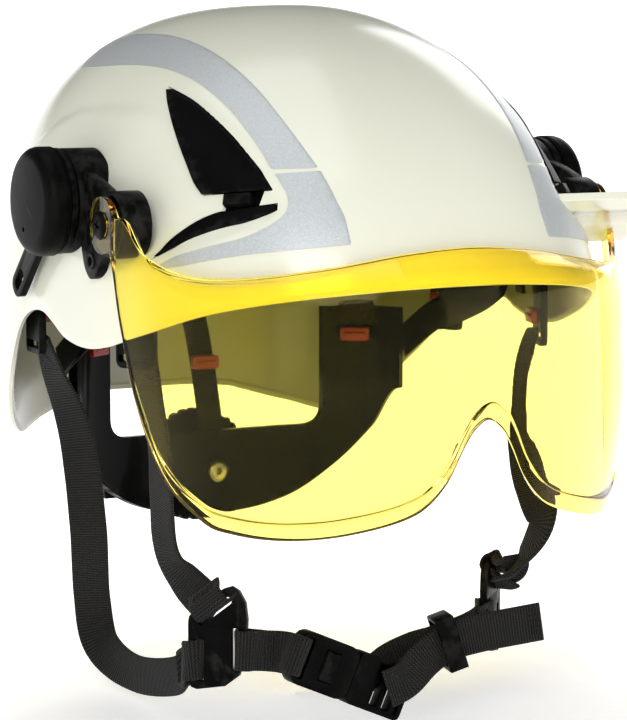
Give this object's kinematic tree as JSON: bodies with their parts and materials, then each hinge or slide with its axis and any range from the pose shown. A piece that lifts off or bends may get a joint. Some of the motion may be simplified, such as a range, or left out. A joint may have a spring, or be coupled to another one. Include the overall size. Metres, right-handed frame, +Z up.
{
  "type": "hard hat",
  "caption": "Ventilated hard hat with a tilting clear eye visor, reflective strips, webbing cradle, ratchet nape yoke and buckled chin strap.",
  "frame": {"origin": "head seat: the middle of the head opening at the height of the headband, between the brow band and the nape yoke", "axes": "+Z up through the crown, -Y the front where the visor is, +X the wearer's left. The hat is shown tipped back about 10 degrees, as it sits in use"},
  "size_m": [0.25, 0.3058, 0.2872],
  "materials": {
    "shell": "glossy moulded ivory white",
    "reflector": "glass-bead retroreflective film, silver grey",
    "visor": "clear tinted polycarbonate, amber at its edges",
    "cap": "satin moulded black",
    "band": "glossy flexible black",
    "vent": "fine-textured black",
    "hardware": "satin acetal black",
    "webbing": "ribbed polyester webbing",
    "key": "satin dark red",
    "pad": "brushed sweatband fabric over foam",
    "steel": "plated screw"
  },
  "bodies": {
    "helmet": {"outer_shell": "shell", "reflector_upper_R": "reflector", "reflector_upper_L": "reflector", "reflector_lower_R": "reflector", "reflector_lower_L": "reflector", "rear_hanger_strap": "webbing", "chin_leg_rear_R": "webbing", "chin_leg_front_R": "webbing", "chin_leg_front_L": "webbing", "buckle_strap": "webbing", "load_strap": "webbing", "tail_strap": "webbing", "crown_strap_1": "webbing", "crown_strap_2": "webbing", "key_rear_centre": "key", "key_front_R": "key", "key_front_L": "key", "key_rear_R": "key", "key_rear_L": "key", "key_nape_R": "key", "key_nape_L": "key", "brow_pad": "pad", "ratchet_screw": "steel", "side_cap_R": "cap", "side_cap_L": "cap", "adapter_base_R": "cap", "adapter_base_L": "cap", "visor_bracket_R": "cap", "visor_bracket_L": "cap", "brow_band": "band", "nape_yoke": "band", "band_tail_R": "band", "band_tail_L": "band", "vent_upper_R": "vent", "vent_upper_L": "vent", "vent_lower_R": "vent", "vent_lower_L": "vent", "ratchet_housing": "hardware", "hinge_pin_R": "hardware", "hinge_pin_L": "hardware", "hanger_front_R": "hardware", "hanger_front_L": "hardware", "hanger_rear_R": "hardware", "hanger_rear_L": "hardware", "hanger_rear_centre": "hardware", "strap_fork_R": "hardware", "strap_fork_L": "hardware", "buckle_socket": "hardware", "buckle_insert": "hardware"},
    "visor": {"visor": "visor"},
    "adapter_lever_R": {"adapter_lever_R": "cap"},
    "adapter_lever_L": {"adapter_lever_L": "cap"},
    "vent_slider_R": {"vent_slider_R": "vent"},
    "vent_slider_L": {"vent_slider_L": "vent"},
    "ratchet_wheel": {"ratchet_knob": "hardware", "ratchet_pinion": "hardware"},
    "rack_R": {"rack_R": "hardware"},
    "rack_L": {"rack_L": "hardware"},
    "buckle_button": {"buckle_button": "hardware"},
    "strap_keeper": {"strap_keeper": "hardware"}
  },
  "joints": [
    {"name": "visor_tilt", "type": "hinge", "parent": "helmet", "child": "visor", "pos_m": [0, -0.056, 0.059], "axis": [-1, 0, 0], "range_deg": [0, 85]},
    {"name": "adapter_lever_R_swing", "type": "hinge", "parent": "helmet", "child": "adapter_lever_R", "pos_m": [-0.1125, -0.012, 0.066], "axis": [1, 0, 0], "range_deg": [0, 30]},
    {"name": "adapter_lever_L_swing", "type": "hinge", "parent": "helmet", "child": "adapter_lever_L", "pos_m": [0.1125, -0.012, 0.066], "axis": [1, 0, 0], "range_deg": [0, 30]},
    {"name": "vent_slider_R_slide", "type": "slide", "parent": "helmet", "child": "vent_slider_R", "axis": [0.6635, -0.7439, 0.0804], "range_m": [0, 0.006]},
    {"name": "vent_slider_L_slide", "type": "slide", "parent": "helmet", "child": "vent_slider_L", "axis": [-0.6635, -0.7439, 0.0804], "range_m": [0, 0.006]},
    {"name": "ratchet_turn", "type": "hinge", "parent": "helmet", "child": "ratchet_wheel", "pos_m": [0, 0.09, -0.061], "axis": [0, -1, 0], "range_deg": [0, 520]},
    {"name": "rack_R_slide", "type": "slide", "parent": "helmet", "child": "rack_R", "axis": [1, 0, 0], "range_m": [0, 0.042]},
    {"name": "rack_L_slide", "type": "slide", "parent": "helmet", "child": "rack_L", "axis": [-1, 0, 0], "range_m": [0, 0.042]},
    {"name": "buckle_press", "type": "slide", "parent": "helmet", "child": "buckle_button", "axis": [0, 1, 0], "range_m": [0, 0.001], "stiffness_N_per_m": 400},
    {"name": "keeper_slide", "type": "slide", "parent": "helmet", "child": "strap_keeper", "axis": [0.9228, -0.2301, 0.309], "range_m": [0, 0.006]}
  ],
  "couplings": [
    {"joint": "rack_R_slide", "follows": "ratchet_turn", "m_per_rad": 0.0046},
    {"joint": "rack_L_slide", "follows": "ratchet_turn", "m_per_rad": 0.0046}
  ]
}
